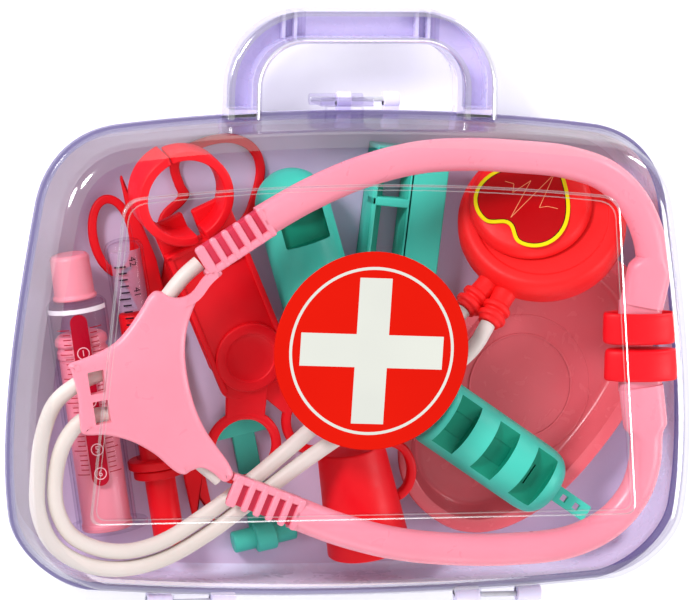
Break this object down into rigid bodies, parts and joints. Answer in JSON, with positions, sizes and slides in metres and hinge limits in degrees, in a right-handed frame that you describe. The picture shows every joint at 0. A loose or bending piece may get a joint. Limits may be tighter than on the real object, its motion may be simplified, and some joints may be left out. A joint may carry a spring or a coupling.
{
  "type": "toy doctor case",
  "caption": "Toy doctor case with a clear hinged lid, latch and handle, packed with toy instruments.",
  "frame": {"origin": "centre of the flat back face that the case lies on", "axes": "+X along the width, +Y from the hinges to the carrying handle, +Z out of the clear lid"},
  "size_m": [0.264, 0.2278, 0.0564],
  "materials": {
    "lavender_plastic": "glossy, slightly see-through",
    "clear_plastic": "clear glossy",
    "pink_plastic": "semi-gloss",
    "cream_tube": "soft satin tube",
    "red_plastic": "semi-gloss",
    "teal_plastic": "semi-gloss",
    "dish_plastic": "glossy, slightly see-through",
    "sticker_paper": "printed, semi-gloss",
    "steel": "satin"
  },
  "bodies": {
    "case": {"rear_shell": "lavender_plastic", "hinge_pin_left": "steel", "hinge_pin_right": "steel", "latch_pin": "steel", "stethoscope_headset": "pink_plastic", "ear_tip_upper": "red_plastic", "ear_tip_lower": "red_plastic", "stethoscope_tube_upper": "cream_tube", "stethoscope_tube_lower": "cream_tube", "chest_piece_body": "red_plastic", "chest_piece_face": "red_plastic", "heart_sticker": "sticker_paper", "syringe_barrel": "clear_plastic", "syringe_cap": "pink_plastic", "thermometer_tube": "clear_plastic", "thermometer_stem": "red_plastic", "scissors_finger_blade": "red_plastic", "scissors_rivet": "steel", "scalpel": "red_plastic", "forceps_back_arm": "red_plastic", "forceps_rivet": "steel", "penlight": "teal_plastic", "otoscope_grip": "teal_plastic", "tweezers": "teal_plastic", "reflex_hammer": "teal_plastic", "medicine_cup": "red_plastic", "oval_dish": "dish_plastic"},
    "lid": {"front_lid": "clear_plastic", "lid_sticker": "sticker_paper"},
    "latch": {"latch_hasp": "clear_plastic"},
    "plunger": {"syringe_plunger": "pink_plastic"},
    "forceps_arm": {"forceps_front_arm": "red_plastic"},
    "scissors_blade": {"scissors_thumb_blade": "red_plastic"}
  },
  "joints": [
    {"name": "lid_hinge", "type": "hinge", "parent": "case", "child": "lid", "pos_m": [0, -0.0936, 0.02615], "axis": [1, 0, 0], "range_deg": [0, 120]},
    {"name": "latch_hinge", "type": "hinge", "parent": "case", "child": "latch", "pos_m": [-0.007, 0.096, 0.0205], "axis": [-1, 0, 0], "range_deg": [0, 100]},
    {"name": "plunger_slide", "type": "slide", "parent": "case", "child": "plunger", "axis": [-0.1599, 0.9871, 0], "range_m": [-0.009, 0.009]},
    {"name": "forceps_hinge", "type": "hinge", "parent": "case", "child": "forceps_arm", "pos_m": [-0.0374, -0.002, 0.0179], "axis": [-0.0742, 0.157, -0.9848], "range_deg": [0, 8]},
    {"name": "scissors_hinge", "type": "hinge", "parent": "case", "child": "scissors_blade", "pos_m": [-0.068, 0.005, 0.0064], "axis": [0, 0, 1], "range_deg": [0, 3]}
  ]
}
